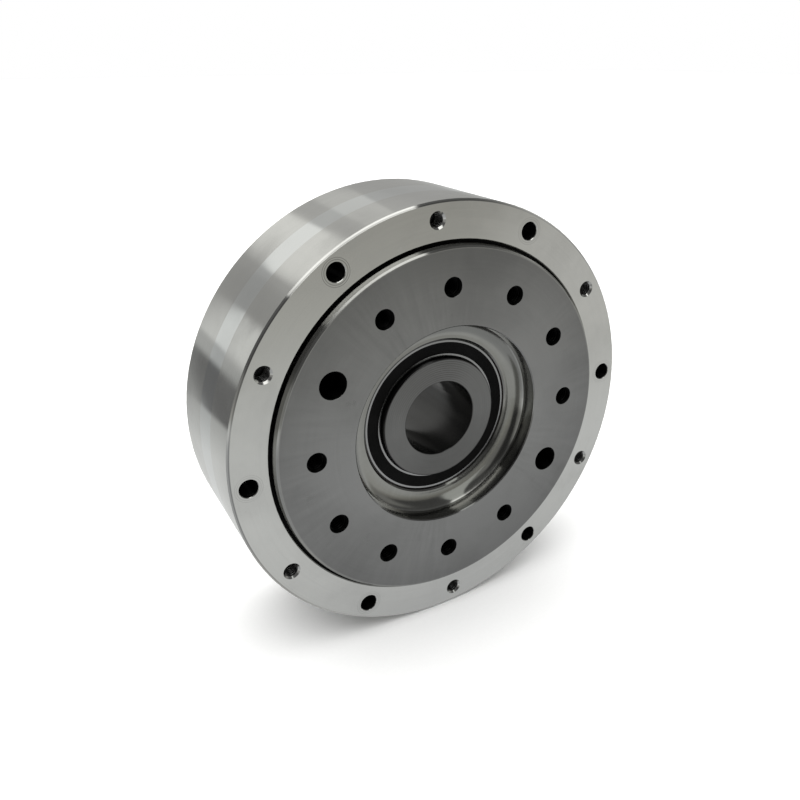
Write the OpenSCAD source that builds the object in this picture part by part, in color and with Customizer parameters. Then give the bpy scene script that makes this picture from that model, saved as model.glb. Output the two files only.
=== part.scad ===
// Cycloidal reducer with a hollow eccentric input shaft, two cycloid discs in a ring of pins,
// and an output carrier of two flanges that turns in the case on two thin ball bearings.
// The reducer's axis lies along Y: the output face looks along -Y and the drive side along +Y.
// The origin is on the axis, in the plane of the case's front face.
// Every module is drawn on its own axis +Z, with z = 0 in that plane and the inside at negative z.

/* [Case] */
// Wall of the case between the seat of a main bearing and the case's outside
case_wall = 12; // [11:0.5:16]
// Axial length of the front ring of the case
front_ring_length = 15.5; // [15:0.5:20]
// Axial length of the rear ring of the case
rear_ring_length = 16.5; // [16:0.5:22]
// Chamfer on the two outer rims of the case
case_chamfer = 0.7; // [0.3:0.1:1]
// Distance of the case's bolt circle from its outside
case_bolt_inset = 5.5; // [5.25:0.25:6]
// Holes of each kind, clear and tapped, on the case's bolt circle
case_hole_count = 6; // [4:1:8]
// Diameter of the clear mounting holes
case_hole_d = 5.5; // [4.5:0.1:6]
// Thread size of the tapped holes and of the case screws
case_thread_d = 5; // [4:0.5:5]
// How far the case screws reach into the front ring
case_screw_reach = 10; // [6:0.5:12]
// Turn of the case's holes against the output flange's holes at rest, in degrees
case_angle = 3.5; // [0:0.1:30]

/* [Output carrier] */
// How far the output flange stands proud of the case's front face
flange_proud = 2.6; // [1:0.1:4]
// How far the rear flange lies below the case's rear face
rear_sink = 0.5; // [0.2:0.1:1]
// Ring gap between a flange's rim and the mouth of the case
rim_gap = 0.9; // [0.6:0.05:1.5]
// Chamfer on the rims of both flanges
flange_chamfer = 0.5; // [0.2:0.1:0.8]
// How much the output flange's rim narrows towards its face, on the radius
rim_lead = 0.4; // [0:0.1:0.6]
// Distance of the output flange's bolt circle from the bore of the main bearing
flange_bolt_inset = 5; // [4.5:0.25:6]
// Thread size of the output flange's tapped holes
flange_thread_d = 6; // [4:0.5:6]
// Depth of the output flange's tapped holes
flange_thread_depth = 12; // [8:0.5:13]
// Places for holes on the output flange, with a dowel hole at two of them
flange_hole_places = 12; // [8:2:12]
// Diameter of the two dowel holes
dowel_hole_d = 8; // [5:0.5:8]
// Depth of the two dowel holes
dowel_hole_depth = 8; // [6:0.5:8]
// Diameter of the centring recess round the hub
recess_d = 65.2; // [62:0.2:66]
// Depth of the straight wall of that recess
recess_wall = 5.2; // [3:0.1:5.5]
// Width of the step at the foot of that wall
recess_step = 0.4; // [0.2:0.1:0.8]
// Radius of the cove between that wall and the floor
recess_cove = 6; // [2:0.25:7]
// How far the front shaft bearing lies below the recess's floor
bearing_sink = 0.8; // [0:0.1:1.2]

/* [Output pins and pillars] */
// Circle of the pins and pillars that pass through the discs
carrier_circle = 75; // [74:0.5:77]
// Places on that circle, for pillars and pins together
carrier_places = 12; // [9:3:12]
// Diameter of an output pin
output_pin_d = 8; // [6:0.5:8]
// Wall of the sleeve that rolls on an output pin
sleeve_wall = 1.5; // [1:0.1:1.6]
// Depth of the blind seats that hold the output pins
output_pin_seat = 7; // [5:0.5:8]
// Least gap between a pillar and the side of its hole in a disc
pillar_gap = 0.38; // [0.3:0.02:0.6]
// Thread size of the screws that hold the rear flange on the pillars
pillar_thread_d = 6; // [5:0.5:6]
// Length of those screws under the head
pillar_screw_length = 20; // [16:1:22]

/* [Cycloid stage] */
// Number of pins in the ring; the reduction is one less than this
ring_pin_count = 40; // [30:1:44]
// Distance of the circle of ring pins from the seat of a main bearing
ring_pin_inset = 2; // [1.5:0.25:2.5]
// Diameter of a ring pin
ring_pin_d = 4; // [3:0.1:4.4]
// Eccentricity of the input shaft
eccentricity = 1; // [0.6:0.05:1]
// Thickness of one cycloid disc
disc_thickness = 5; // [4:0.5:8]

/* [Input shaft] */
// Diameter of the through bore
shaft_bore = 25; // [16:0.5:26]
// Diameter of the bearing seats
shaft_seat_d = 40; // [39:0.5:41]
// How far the hub stands proud of the front bearing
hub_proud = 1.9; // [0.4:0.1:2.4]
// How far the drive end stands proud of the case's rear face
drive_end_proud = 2; // [0:0.5:10]
// Distance of the drive end's bolt circle from the shaft's outside
drive_bolt_inset = 4; // [3.5:0.25:4.5]
// Number of tapped holes in the drive end
drive_bolt_count = 6; // [3:1:8]
// Thread size of those holes
drive_thread_d = 4; // [3:0.5:4]

/* [Bearings] */
// Bore of the two main bearings
main_bore = 100; // [99:0.5:102]
// Radial height of a main bearing's section
main_section = 8; // [7.5:0.25:8.5]
// Width of a main bearing
main_width = 8; // [7:0.5:8.5]
// Radial height of a shaft bearing's section
shaft_section = 6; // [5.5:0.25:7]
// Width of a shaft bearing
shaft_bearing_width = 7; // [6.5:0.5:8]
// Diameter of the rollers between an eccentric and its disc
roller_d = 3.5; // [3:0.1:4]
// Width of an oil seal
seal_width = 3.4; // [3:0.1:3.8]

/* [Fits and clearances] */
// Gap at a press fit, on the radius
press_gap = 0.015; // [0.01:0.005:0.03]
// Gap at a running fit, on the radius
run_gap = 0.08; // [0.06:0.01:0.1]
// Gap between a ring pin and a disc
cycloid_gap = 0.1; // [0.08:0.01:0.14]
// Gap between a disc and the case's shoulder, along the axis
side_gap = 0.15; // [0.1:0.05:0.3]
// Gap between the two discs, along the axis
disc_gap = 0.2; // [0.1:0.05:0.4]

/* [Hidden] */
$fn = 96;
// Overlap that lets one cut run clean through a face
cut = 1;

// Axial chain, from the case's front face inwards
pin_ring_length = 2 * disc_thickness + 2 * side_gap + disc_gap;
case_length = front_ring_length + pin_ring_length + rear_ring_length;
pin_ring_front = -front_ring_length;
pin_ring_rear = pin_ring_front - pin_ring_length;
front_disc_top = pin_ring_front - side_gap;
rear_disc_top = front_disc_top - disc_thickness - disc_gap;
disc_split = (pin_ring_front + pin_ring_rear) / 2;
// Wall of a case ring between its main bearing and the pin ring
case_shoulder = 1.5;
main_front = pin_ring_front + case_shoulder + main_width;
main_rear = pin_ring_rear - case_shoulder - main_width;
// Gap between a main bearing and its oil seal, and between that seal and the flange's lip
seal_inset = 1;
lip_gap = 0.6;
front_seal_face = main_front + seal_inset + seal_width;
rear_seal_face = main_rear - seal_inset - seal_width;
front_lip = front_seal_face + lip_gap;
rear_lip = rear_seal_face - lip_gap;
// The carrier's inner faces stand off the pin ring a little, so that they clear the discs
carrier_gap = 0.2;
carrier_front = pin_ring_front + carrier_gap;
carrier_rear = pin_ring_rear - carrier_gap;
rear_face = -case_length + rear_sink;
// Wall of each flange behind its shaft bearing
bearing_shoulder = 2.5;
shaft_bearing_front = carrier_front + bearing_shoulder + shaft_bearing_width;
shaft_bearing_rear = carrier_rear - bearing_shoulder - shaft_bearing_width;
recess_floor = shaft_bearing_front + bearing_sink;
recess_foot = flange_proud - recess_wall;
hub = shaft_bearing_front + hub_proud;
drive_end = -case_length - drive_end_proud;

// Radial chain, from the axis outwards
reduction = ring_pin_count - 1;
shaft_seat_r = shaft_seat_d / 2;
shaft_shoulder_r = shaft_seat_r + 1.4;
// The low side of an eccentric still stands one eccentricity above the bearing seats
eccentric_r = shaft_seat_r + 2 * eccentricity;
roller_r = roller_d / 2;
roll_gap = 0.06;
roller_pitch_r = eccentric_r + roll_gap + roller_r;
disc_bore_r = roller_pitch_r + roller_r + roll_gap;
bearing_pocket_r = shaft_seat_r + shaft_section;
bearing_shoulder_r = bearing_pocket_r - 1.7;
output_pin_r = output_pin_d / 2;
sleeve_r = output_pin_r + sleeve_wall;
disc_hole_r = sleeve_r + eccentricity + run_gap;
pillar_r = disc_hole_r - eccentricity - pillar_gap;
ring_pin_r = ring_pin_d / 2;
main_journal_r = main_bore / 2;
main_seat_r = main_journal_r + main_section;
pin_circle_r = main_seat_r - ring_pin_inset;
// The case's shoulders cover most of each ring pin's end
case_shoulder_r = pin_circle_r - 0.6 * ring_pin_r;
pin_ring_bore_r = pin_circle_r + 0.5;
neck_r = main_journal_r + 2.5;
case_bore_r = main_seat_r + 0.25;
flange_r = case_bore_r - rim_gap;
case_r = main_seat_r + case_wall;

// Angle of the first eccentric at rest: straight up
eccentric_angle = 90;
// Small chamfers that break the edges of holes and mouths
edge_break = 0.3;

steel_bright = [0.72, 0.73, 0.71];
steel_ground = [0.80, 0.82, 0.82];
steel_dark = [0.42, 0.42, 0.41];
steel_shaft = [0.40, 0.40, 0.39];
steel_race = [0.62, 0.62, 0.61];
steel_hard = [0.55, 0.56, 0.58];
oxide_black = [0.10, 0.10, 0.11];
rubber_black = [0.06, 0.06, 0.06];
cage_brass = [0.72, 0.58, 0.30];

// ---- shared shapes ----

// A revolved outline of [radius, z] points
module turned(points) {
  rotate_extrude() polygon(points);
}

// A washer between two radii, from z = top down to z = bottom
module ring(r_out, r_in, top, bottom) {
  translate([0, 0, bottom]) difference() {
    cylinder(r = r_out, h = top - bottom);
    translate([0, 0, -cut]) cylinder(r = r_in, h = top - bottom + 2 * cut);
  }
}

// Children repeated evenly round the axis, starting at an angle
module round_axis(count, radius, start = 0) {
  for (i = [0:count - 1])
    rotate(start + i * 360 / count) translate([radius, 0, 0]) children();
}

// A round hole cut from z = top down to z = bottom
module hole(r, top, bottom) {
  translate([0, 0, bottom]) cylinder(r = r, h = top - bottom);
}

// Core radius of a coarse metric thread: its size less its pitch
function core_r(thread_d) = (thread_d - (thread_d > 5 ? 1 : thread_d > 4 ? 0.8 : 0.7)) / 2;

// A cone that breaks the edge of a hole at z = top by the width given
module mouth(r, top, width) {
  translate([0, 0, top - width]) cylinder(r1 = r, r2 = r + width + cut, h = width + cut);
}

// A blind tapped hole at its core size, with a countersunk mouth and the drill's point
module tapped_hole(thread_d, top, depth) {
  r = core_r(thread_d);
  hole(r, top + cut, top - depth);
  translate([0, 0, top - depth - r / 2]) cylinder(r1 = 0, r2 = r, h = r / 2);
  mouth(r, top, thread_d / 2 + 0.15 - r);
}

// A screw's head from its seat at z = top, with its far rim broken by a chamfer
module screw_head(r, top, height) {
  rim = height / 8;
  hole(r, top, top - height + rim);
  translate([0, 0, top - height]) cylinder(r1 = r - rim, r2 = r, h = rim);
}

// A hexagon socket, cut down from z = 0
module hex_socket(across_flats, depth) {
  translate([0, 0, -depth]) linear_extrude(depth + cut)
    circle(r = across_flats / sqrt(3), $fn = 6);
}

// ---- ball bearings ----
// A bearing is [bore, outside diameter, width, edge chamfer, depth of the seal seats].
// It is drawn from its outside face at z = 0 down to z = -width.

// Share of the gap between bore and outside that a ball fills, and that each race's land leaves
ball_share = 0.6;
land_share = 0.15;
seal_sink = 0.15;
seal_thickness = 0.7;
seal_step = 1;
main_bearing = [main_bore, 2 * main_seat_r, main_width, 0.5, 0];
shaft_bearing = [
  shaft_seat_d, 2 * bearing_pocket_r, shaft_bearing_width, 0.5, seal_sink + seal_thickness
];

function ball_r(b) = ball_share * (b[1] - b[0]) / 4;
function pitch_r(b) = (b[0] + b[1]) / 4;
function land(b) = land_share * (b[1] - b[0]) / 2;
function ball_count(b) = floor(PI * pitch_r(b) / (1.95 * ball_r(b)));

module raceway(b) {
  translate([0, 0, -b[2] / 2])
    rotate_extrude() translate([pitch_r(b), 0]) circle(r = ball_r(b) + run_gap);
}

module inner_race(b) {
  land_r = pitch_r(b) - land(b);
  seat_r = b[0] / 2 + press_gap;
  color(steel_race) difference() {
    turned([
      [seat_r + b[3], 0], [land_r, 0], [land_r, -b[2]], [seat_r + b[3], -b[2]],
      [seat_r, b[3] - b[2]], [seat_r, -b[3]]
    ]);
    raceway(b);
    // The seals run in these steps with a gap all round
    if (b[4] > 0) for (top = [cut, b[4] + run_gap - b[2]])
      ring(land_r + cut, land_r - seal_step, top, top - b[4] - run_gap - cut);
  }
}

module outer_race(b) {
  land_r = pitch_r(b) + land(b);
  seat_r = b[1] / 2 - press_gap;
  color(steel_race) difference() {
    turned([
      [land_r, 0], [seat_r - b[3], 0], [seat_r, -b[3]], [seat_r, b[3] - b[2]],
      [seat_r - b[3], -b[2]], [land_r, -b[2]]
    ]);
    raceway(b);
    if (b[4] > 0) {
      hole(land_r + seal_step, cut, -b[4]);
      hole(land_r + seal_step, b[4] - b[2], -b[2] - cut);
    }
  }
}

module balls(b) {
  color(steel_hard) translate([0, 0, -b[2] / 2])
    round_axis(ball_count(b), pitch_r(b)) sphere(r = ball_r(b), $fn = 48);
}

// A crown cage: its back lies inside the bearing, and the balls snap in from its open front
module crown_cage(b, tint) {
  side_clearance = 0.3;
  half = land(b) - side_clearance;
  pocket = ball_r(b) + run_gap;
  back = b[2] / 2 - b[4] - 0.25;
  color(tint) translate([0, 0, -b[2] / 2]) difference() {
    ring(pitch_r(b) + half, pitch_r(b) - half, pocket / 2, -back);
    round_axis(ball_count(b), pitch_r(b)) sphere(r = pocket, $fn = 48);
  }
}

// Two rubber seals, each held in a step of the outer race and running in one of the inner race
module bearing_seals(b) {
  reach = land(b) + seal_step;
  color(rubber_black) for (top = [-seal_sink, b[4] - b[2]])
    ring(pitch_r(b) + reach - press_gap, pitch_r(b) - reach + run_gap, top, top - seal_thickness);
}

module at_front_main() {
  translate([0, 0, main_front]) children();
}

module at_rear_main() {
  translate([0, 0, main_rear]) mirror([0, 0, 1]) children();
}

module at_front_shaft() {
  translate([0, 0, shaft_bearing_front]) children();
}

module at_rear_shaft() {
  translate([0, 0, shaft_bearing_rear]) mirror([0, 0, 1]) children();
}

module front_main_outer_race() {
  at_front_main() outer_race(main_bearing);
}

module rear_main_outer_race() {
  at_rear_main() outer_race(main_bearing);
}

module front_main_inner_race() {
  at_front_main() inner_race(main_bearing);
}

module rear_main_inner_race() {
  at_rear_main() inner_race(main_bearing);
}

module front_main_balls() {
  at_front_main() balls(main_bearing);
}

module rear_main_balls() {
  at_rear_main() balls(main_bearing);
}

module front_main_cage() {
  at_front_main() crown_cage(main_bearing, cage_brass);
}

module rear_main_cage() {
  at_rear_main() crown_cage(main_bearing, cage_brass);
}

module front_shaft_outer_race() {
  at_front_shaft() outer_race(shaft_bearing);
}

module rear_shaft_outer_race() {
  at_rear_shaft() outer_race(shaft_bearing);
}

module front_shaft_inner_race() {
  at_front_shaft() inner_race(shaft_bearing);
}

module rear_shaft_inner_race() {
  at_rear_shaft() inner_race(shaft_bearing);
}

module front_shaft_balls() {
  at_front_shaft() balls(shaft_bearing);
}

module rear_shaft_balls() {
  at_rear_shaft() balls(shaft_bearing);
}

module front_shaft_cage() {
  at_front_shaft() crown_cage(shaft_bearing, steel_race);
}

module rear_shaft_cage() {
  at_rear_shaft() crown_cage(shaft_bearing, steel_race);
}

module front_shaft_seals() {
  at_front_shaft() bearing_seals(shaft_bearing);
}

module rear_shaft_seals() {
  at_rear_shaft() bearing_seals(shaft_bearing);
}

// ---- case ----

case_circle_r = case_r - case_bolt_inset;
// Radial slack of a screw's shank in the rings that it passes through, and of its head
screw_slack = 0.45;
head_slack = 0.25;
case_screw_r = case_thread_d / 2;
screw_hole_r = case_screw_r + screw_slack;
case_screw_tip = pin_ring_front + case_screw_reach;
// Depth left past a screw's tip, up to the thread that is cut from the case's front face
screw_tip_gap = 0.5;
case_head_r = 0.85 * case_thread_d;
case_head_h = 0.7 * case_thread_d;
case_head_seat = -case_length + case_head_h + 0.5;
thread_mouth = 0.6;
case_dowel_r = 1.5;
dowel_reach = 6;
dowel_slack = 0.3;
bore_break = 0.25;
case_hole_break = 0.2;
// O-rings lie between the ring pins and the bolt circle, in grooves of the two outer rings
o_ring_r = (pin_circle_r + ring_pin_r + case_circle_r - max(case_hole_d / 2, screw_hole_r)) / 2;
o_ring_groove = 1.1;
o_ring_side = 0.4;

module case_holes(top, bottom) {
  round_axis(case_hole_count, case_circle_r, case_angle)
    hole(case_hole_d / 2, top + cut, bottom - cut);
}

// Breaks the outer mouths of the clear holes in a case ring whose outer face is z = 0
module case_hole_mouths() {
  round_axis(case_hole_count, case_circle_r, case_angle)
    mouth(case_hole_d / 2, 0, case_hole_break);
}

module case_screw_places() {
  round_axis(case_hole_count, case_circle_r, case_angle + 180 / case_hole_count) children();
}

module case_dowel_places() {
  round_axis(2, case_circle_r, case_angle + 90 / case_hole_count) children();
}

// The groove runs from the joint face at z into one ring: up for side = 1, down for side = -1
module o_ring_seat(z, side) {
  half = o_ring_groove / 2 + o_ring_side;
  translate([0, 0, z]) mirror([0, 0, side > 0 ? 0 : 1])
    ring(o_ring_r + half, o_ring_r - half, o_ring_groove, -cut);
}

module front_case_ring() {
  color(steel_bright) difference() {
    turned([
      [case_bore_r + bore_break, 0], [case_r - case_chamfer, 0], [case_r, -case_chamfer],
      [case_r, pin_ring_front], [case_shoulder_r, pin_ring_front],
      [case_shoulder_r, main_front - main_width], [main_seat_r, main_front - main_width],
      [main_seat_r, main_front], [case_bore_r, main_front], [case_bore_r, -bore_break]
    ]);
    case_holes(0, pin_ring_front);
    case_hole_mouths();
    case_screw_places() {
      hole(core_r(case_thread_d), cut, case_screw_tip);
      hole(case_screw_r + press_gap, case_screw_tip + screw_tip_gap, pin_ring_front - cut);
      mouth(core_r(case_thread_d), 0, thread_mouth);
    }
    case_dowel_places()
      hole(case_dowel_r + press_gap, pin_ring_front + dowel_reach, pin_ring_front - cut);
    o_ring_seat(pin_ring_front, 1);
  }
}

module pin_ring() {
  color(steel_ground) difference() {
    ring(case_r, pin_ring_bore_r, pin_ring_front, pin_ring_rear);
    round_axis(ring_pin_count, pin_circle_r)
      hole(ring_pin_r + press_gap, pin_ring_front + cut, pin_ring_rear - cut);
    case_holes(pin_ring_front, pin_ring_rear);
    case_screw_places() hole(screw_hole_r, pin_ring_front + cut, pin_ring_rear - cut);
    case_dowel_places()
      hole(case_dowel_r + press_gap, pin_ring_front + cut, pin_ring_rear - cut);
  }
}

module rear_case_ring() {
  rear = -case_length;
  color(steel_bright) difference() {
    turned([
      [case_shoulder_r, pin_ring_rear], [case_r, pin_ring_rear], [case_r, rear + case_chamfer],
      [case_r - case_chamfer, rear], [case_bore_r + bore_break, rear],
      [case_bore_r, rear + bore_break], [case_bore_r, main_rear], [main_seat_r, main_rear],
      [main_seat_r, main_rear + main_width], [case_shoulder_r, main_rear + main_width]
    ]);
    case_holes(pin_ring_rear, rear);
    translate([0, 0, rear]) mirror([0, 0, 1]) case_hole_mouths();
    case_screw_places() {
      hole(screw_hole_r, pin_ring_rear + cut, rear - cut);
      hole(case_head_r + head_slack, case_head_seat, rear - cut);
    }
    case_dowel_places()
      hole(case_dowel_r + press_gap, pin_ring_rear + cut, pin_ring_rear - dowel_reach);
    o_ring_seat(pin_ring_rear, -1);
  }
}

module ring_pins() {
  end_gap = 0.1;
  color(steel_hard) round_axis(ring_pin_count, pin_circle_r)
    hole(ring_pin_r, pin_ring_front - end_gap, pin_ring_rear + end_gap);
}

module case_screws() {
  socket = 0.6 * case_thread_d;
  color(oxide_black) case_screw_places() difference() {
    union() {
      screw_head(case_head_r, case_head_seat, case_head_h);
      hole(case_screw_r, case_screw_tip, case_head_seat - cut);
    }
    translate([0, 0, case_head_seat - case_head_h]) mirror([0, 0, 1])
      hex_socket(socket, 0.6 * case_head_h);
  }
}

module case_dowels() {
  color(steel_hard) case_dowel_places() hole(case_dowel_r,
    pin_ring_front + dowel_reach - dowel_slack, pin_ring_rear - dowel_reach + dowel_slack);
}

module case_o_rings() {
  cord_r = o_ring_groove / 2 - press_gap;
  inset = o_ring_groove / 2;
  color(rubber_black) for (z = [pin_ring_front + inset, pin_ring_rear - inset])
    translate([0, 0, z]) rotate_extrude() translate([o_ring_r, 0]) circle(r = cord_r);
}

// A lip seal with its outside face at z = 0: its rim is pressed in the case, and its lip
// slopes back to the flange's neck behind a thin web
module oil_seal() {
  rim = case_bore_r - press_gap;
  lip = neck_r + run_gap;
  web = 1;
  color(rubber_black) turned([
    [rim, 0], [rim, -seal_width], [rim - web, -seal_width], [rim - web, -web],
    [lip + 1.5 * web, -web], [lip + 1.1 * web, edge_break - seal_width],
    [lip, -0.65 * seal_width], [lip + 0.9 * web, 0]
  ]);
}

module front_oil_seal() {
  translate([0, 0, front_seal_face]) oil_seal();
}

module rear_oil_seal() {
  translate([0, 0, rear_seal_face]) mirror([0, 0, 1]) oil_seal();
}

// ---- output carrier ----

flange_circle_r = main_journal_r - flange_bolt_inset;
carrier_circle_r = carrier_circle / 2;
pillar_thread_depth = 14;
// The part of the flange's proud rim that slopes
rim_lead_length = (flange_proud - flange_chamfer) * 2 / 3;
pocket_mouth = 0.45;
flange_screw_head_r = 0.83 * pillar_thread_d;
flange_screw_head_h = pillar_thread_d;
flange_screw_seat = rear_face + flange_screw_head_h + 0.4;

// Every third place on the carrier's circle is a pillar, and the others are output pins
module carrier_position(i) {
  rotate((i + 0.5) * 360 / carrier_places) translate([carrier_circle_r, 0, 0]) children();
}

module pillar_places() {
  for (i = [0:3:carrier_places - 1]) carrier_position(i) children();
}

module output_pin_places() {
  for (i = [0:carrier_places - 1])
    if (i % 3 != 0) carrier_position(i) children();
}

module dowel_hole() {
  hole(dowel_hole_d / 2, flange_proud + cut, flange_proud - dowel_hole_depth);
  mouth(dowel_hole_d / 2, flange_proud, edge_break);
}

// The round recess: straight wall, a small step, then a cove down to its floor
module recess() {
  lip_r = recess_d / 2 - recess_step;
  drop = recess_foot - recess_floor;
  cove_width = sqrt(pow(recess_cove, 2) - pow(max(recess_cove - drop, 0), 2));
  hole(recess_d / 2, flange_proud + cut, recess_foot);
  mouth(recess_d / 2, flange_proud, edge_break);
  rotate_extrude() difference() {
    translate([0, recess_floor]) square([lip_r, drop + edge_break]);
    translate([lip_r - cove_width, recess_floor]) difference() {
      square([cove_width + cut, min(recess_cove, drop)]);
      translate([0, recess_cove]) circle(r = recess_cove);
    }
  }
}

module output_flange() {
  half_places = flange_hole_places / 2;
  color(steel_dark) difference() {
    union() {
      turned([
        [0, flange_proud], [flange_r - rim_lead - flange_chamfer, flange_proud],
        [flange_r - rim_lead, flange_proud - flange_chamfer],
        [flange_r, flange_proud - flange_chamfer - rim_lead_length],
        [flange_r, front_lip], [neck_r, front_lip],
        [neck_r, main_front], [main_journal_r, main_front], [main_journal_r, carrier_front],
        [0, carrier_front]
      ]);
      pillar_places() hole(pillar_r, carrier_front + cut, carrier_rear);
    }
    recess();
    hole(bearing_pocket_r, recess_floor + cut, shaft_bearing_front - shaft_bearing_width);
    mouth(bearing_pocket_r, recess_floor, pocket_mouth);
    hole(bearing_shoulder_r, shaft_bearing_front, carrier_front - cut);
    for (i = [0:flange_hole_places - 1])
      rotate(i * 360 / flange_hole_places) translate([flange_circle_r, 0, 0])
        if (i % half_places == half_places - 1) dowel_hole();
        else tapped_hole(flange_thread_d, flange_proud, flange_thread_depth);
    output_pin_places()
      hole(output_pin_r + press_gap, carrier_front + output_pin_seat, carrier_front - cut);
    pillar_places()
      hole(core_r(pillar_thread_d), carrier_rear + pillar_thread_depth, carrier_rear - cut);
  }
}

module rear_flange() {
  color(steel_dark) difference() {
    turned([
      [0, carrier_rear], [main_journal_r, carrier_rear], [main_journal_r, main_rear],
      [neck_r, main_rear], [neck_r, rear_lip], [flange_r, rear_lip],
      [flange_r, rear_face + flange_chamfer], [flange_r - flange_chamfer, rear_face],
      [0, rear_face]
    ]);
    hole(bearing_shoulder_r, carrier_rear + cut, shaft_bearing_rear);
    hole(bearing_pocket_r, shaft_bearing_rear + shaft_bearing_width, rear_face - cut);
    hole(circlip_groove_r, shaft_bearing_rear, shaft_bearing_rear - circlip_t - 2 * press_gap);
    translate([0, 0, rear_face]) mirror([0, 0, 1]) mouth(bearing_pocket_r, 0, pocket_mouth);
    output_pin_places()
      hole(output_pin_r + press_gap, carrier_rear + cut, carrier_rear - output_pin_seat);
    pillar_places() {
      hole(pillar_thread_d / 2 + edge_break, carrier_rear + cut, rear_face - cut);
      hole(flange_screw_head_r + head_slack, flange_screw_seat, rear_face - cut);
    }
  }
}

module flange_screws() {
  color(oxide_black) pillar_places() difference() {
    union() {
      screw_head(flange_screw_head_r, flange_screw_seat, flange_screw_head_h);
      hole(pillar_thread_d / 2, carrier_rear, flange_screw_seat - cut);
      hole(core_r(pillar_thread_d) - press_gap, flange_screw_seat + pillar_screw_length,
        flange_screw_seat);
    }
    translate([0, 0, flange_screw_seat - flange_screw_head_h]) mirror([0, 0, 1])
      hex_socket(pillar_thread_d - 1, flange_screw_head_h / 2);
  }
}

module output_pins() {
  end_gap = 0.2;
  reach = output_pin_seat - end_gap;
  color(steel_hard) output_pin_places()
    hole(output_pin_r, carrier_front + reach, carrier_rear - reach);
}

// One sleeve rolls in each disc
module output_pin_sleeves() {
  end_gap = 0.1;
  color(steel_race) output_pin_places() for (top = [front_disc_top, rear_disc_top])
    ring(sleeve_r, output_pin_r + run_gap / 2, top - end_gap, top - disc_thickness + end_gap);
}

// ---- circlip ----

circlip_t = 2;
circlip_depth = 1.5;
circlip_groove_r = bearing_pocket_r + circlip_depth;

// An open ring in a groove of the bore, with two pierced ears beside its gap
module bearing_circlip() {
  r_out = circlip_groove_r - 0.1;
  r_in = bearing_pocket_r - 1.6;
  ear_r = 1.8;
  ear_hole_r = 0.7;
  ear_angle = 12;
  // Half the width of the wedge that opens the ring, at twice its radius
  half_opening = 6;
  color(steel_hard) translate([0, 0, shaft_bearing_rear - press_gap - circlip_t]) rotate(-90)
    linear_extrude(circlip_t) difference() {
      circle(r = r_out);
      difference() {
        circle(r = r_in);
        for (a = [-ear_angle, ear_angle]) rotate(a) translate([r_in, 0]) circle(r = ear_r);
      }
      polygon([[0, 0], [2 * r_out, -half_opening], [2 * r_out, half_opening]]);
      for (a = [-ear_angle, ear_angle]) rotate(a) translate([r_in, 0]) circle(r = ear_hole_r);
    }
}

// ---- input shaft ----

drive_chamfer = 0.5;
hub_chamfer = 0.15;

// An eccentric points along angle, between z = top and z = bottom
module eccentric(angle, top, bottom) {
  rotate(angle) translate([eccentricity, 0, 0]) hole(eccentric_r, top, bottom);
}

module input_shaft() {
  front_seat_end = shaft_bearing_front - shaft_bearing_width;
  rear_seat_end = shaft_bearing_rear + shaft_bearing_width;
  bore_r = shaft_bore / 2;
  color(steel_shaft) difference() {
    union() {
      turned([
        [0, hub], [shaft_seat_r - hub_chamfer, hub], [shaft_seat_r, hub - hub_chamfer],
        [shaft_seat_r, front_seat_end], [shaft_shoulder_r, front_seat_end],
        [shaft_shoulder_r, pin_ring_front], [shaft_seat_r, pin_ring_front],
        [shaft_seat_r, pin_ring_rear], [shaft_shoulder_r, pin_ring_rear],
        [shaft_shoulder_r, rear_seat_end], [shaft_seat_r, rear_seat_end],
        [shaft_seat_r, drive_end + drive_chamfer], [shaft_seat_r - drive_chamfer, drive_end],
        [0, drive_end]
      ]);
      eccentric(eccentric_angle, pin_ring_front, disc_split);
      eccentric(eccentric_angle + 180, disc_split, pin_ring_rear);
    }
    hole(bore_r, hub + cut, drive_end - cut);
    mouth(bore_r, hub, hub_chamfer);
    translate([0, 0, drive_end]) mirror([0, 0, 1]) {
      mouth(bore_r, 0, drive_chamfer);
      round_axis(drive_bolt_count, shaft_seat_r - drive_bolt_inset)
        tapped_hole(drive_thread_d, 0, 2 * drive_thread_d);
    }
  }
}

// ---- cycloid stage ----

// Points on each lobe, drawn together at the valleys, where the outline turns sharply
lobe_points = 16;
valley_crowding = 0.8;

// Where a ring pin's centre lies, seen from the disc, after a turn of t
function pin_path(t) = [
  pin_circle_r * cos(t) - eccentricity * cos(ring_pin_count * t),
  pin_circle_r * sin(t) - eccentricity * sin(ring_pin_count * t)
];

// Direction square to that path, towards the disc's middle
function inward(t) = [
  eccentricity * ring_pin_count * cos(ring_pin_count * t) - pin_circle_r * cos(t),
  eccentricity * ring_pin_count * sin(ring_pin_count * t) - pin_circle_r * sin(t)
];

function outline_point(t) =
  pin_path(t) + (ring_pin_r + cycloid_gap) * inward(t) / norm(inward(t));

// Turn for point i of the outline; a lobe takes 360 / reduction degrees
function outline_turn(i) =
  let (phase = i * 360 / lobe_points)
  (phase - valley_crowding * sin(phase) * 180 / PI) / reduction;

function cycloid_outline() = [
  for (i = [0:reduction * lobe_points - 1]) outline_point(outline_turn(i))
];

// A disc on the eccentric that points along angle; its holes stay in line with the carrier's
module cycloid_disc(angle, top) {
  color(steel_hard) at_eccentric(angle, top - disc_thickness) difference() {
    rotate(-angle / reduction) linear_extrude(disc_thickness) polygon(cycloid_outline());
    hole(disc_bore_r, disc_thickness + cut, -cut);
    round_axis(carrier_places, carrier_circle_r, 180 / carrier_places)
      hole(disc_hole_r, disc_thickness + cut, -cut);
  }
}

// Moves children to the centre of the eccentric that points along angle, without turning them
module at_eccentric(angle, z) {
  translate([eccentricity * cos(angle), eccentricity * sin(angle), z]) children();
}

module front_cycloid_disc() {
  cycloid_disc(eccentric_angle, front_disc_top);
}

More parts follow.
